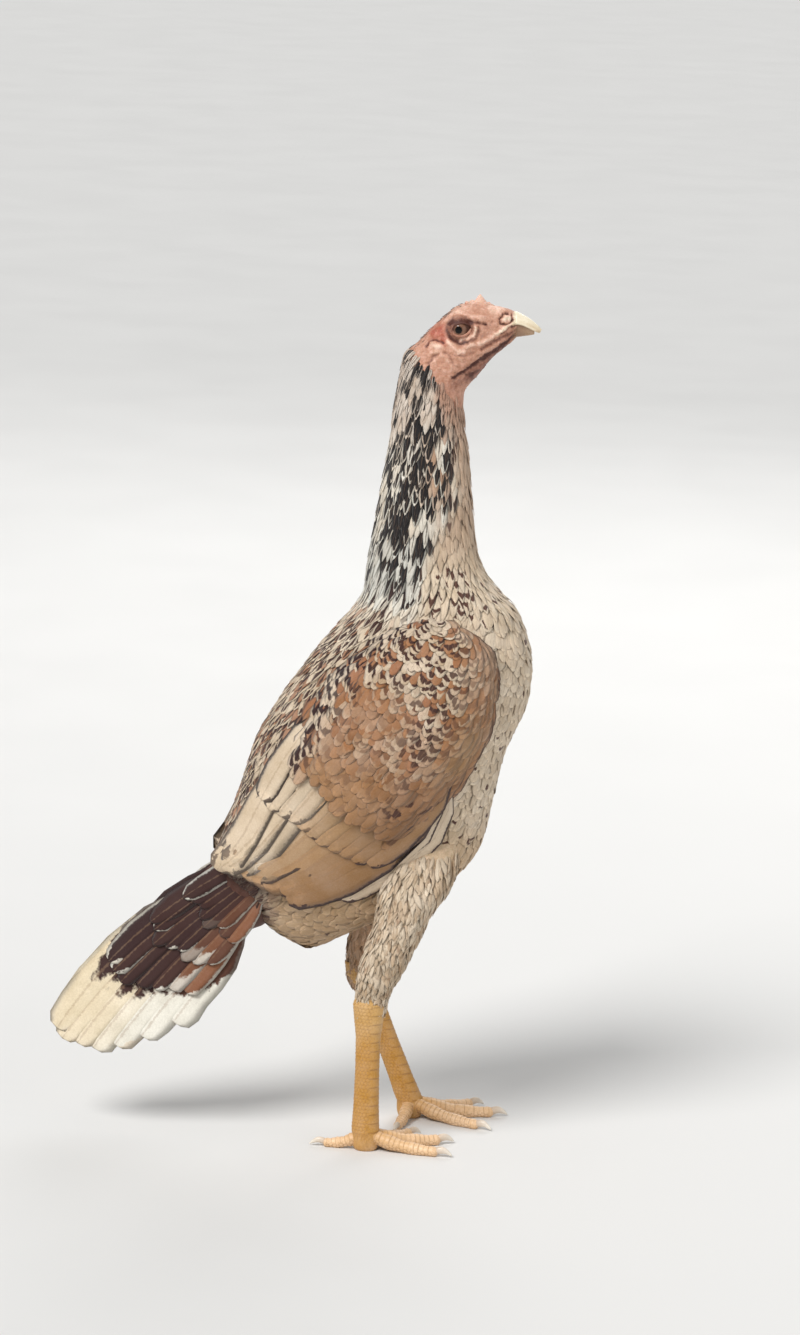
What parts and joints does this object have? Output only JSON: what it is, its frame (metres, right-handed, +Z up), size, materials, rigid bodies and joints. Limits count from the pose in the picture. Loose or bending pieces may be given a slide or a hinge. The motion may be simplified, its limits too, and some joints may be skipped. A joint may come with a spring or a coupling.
{
  "type": "aseel chicken",
  "caption": "Life-size standing aseel game hen with upright neck, folded wings, low tail, bare face and pea comb.",
  "frame": {"origin": "centre of the bounding box's base, on the floor between the feet and the tail", "axes": "+X the way the beak points, +Y the bird's left side, +Z up"},
  "size_m": [0.3106, 0.1506, 0.5683],
  "materials": {
    "body_plumage": "matte feather",
    "hackle_plumage": "matte feather",
    "wing_plumage": "matte feather",
    "tail_plumage": "satin feather",
    "thigh_plumage": "soft feather",
    "face_skin": "bare skin",
    "comb_skin": "bare skin",
    "beak_horn": "horn",
    "claw_horn": "horn",
    "leg_scale": "scaled skin",
    "eye": "wet gloss"
  },
  "bodies": {
    "root": {"torso": "body_plumage", "neck": "hackle_plumage", "head": "face_skin", "comb": "comb_skin", "wattle_right": "comb_skin", "wattle_left": "comb_skin", "beak_upper": "beak_horn", "beak_lower": "beak_horn", "eye_right": "eye", "eye_left": "eye", "wing_right": "wing_plumage", "wing_left": "wing_plumage", "tail": "tail_plumage", "thigh_right": "thigh_plumage", "thigh_left": "thigh_plumage", "shank_right": "leg_scale", "shank_left": "leg_scale", "toe_middle_right": "leg_scale", "toe_inner_right": "leg_scale", "toe_outer_right": "leg_scale", "toe_hind_right": "leg_scale", "toe_middle_left": "leg_scale", "toe_inner_left": "leg_scale", "toe_outer_left": "leg_scale", "toe_hind_left": "leg_scale", "claw_middle_right": "claw_horn", "claw_inner_right": "claw_horn", "claw_outer_right": "claw_horn", "claw_hind_right": "claw_horn", "claw_middle_left": "claw_horn", "claw_inner_left": "claw_horn", "claw_outer_left": "claw_horn", "claw_hind_left": "claw_horn"}
  },
  "joints": []
}
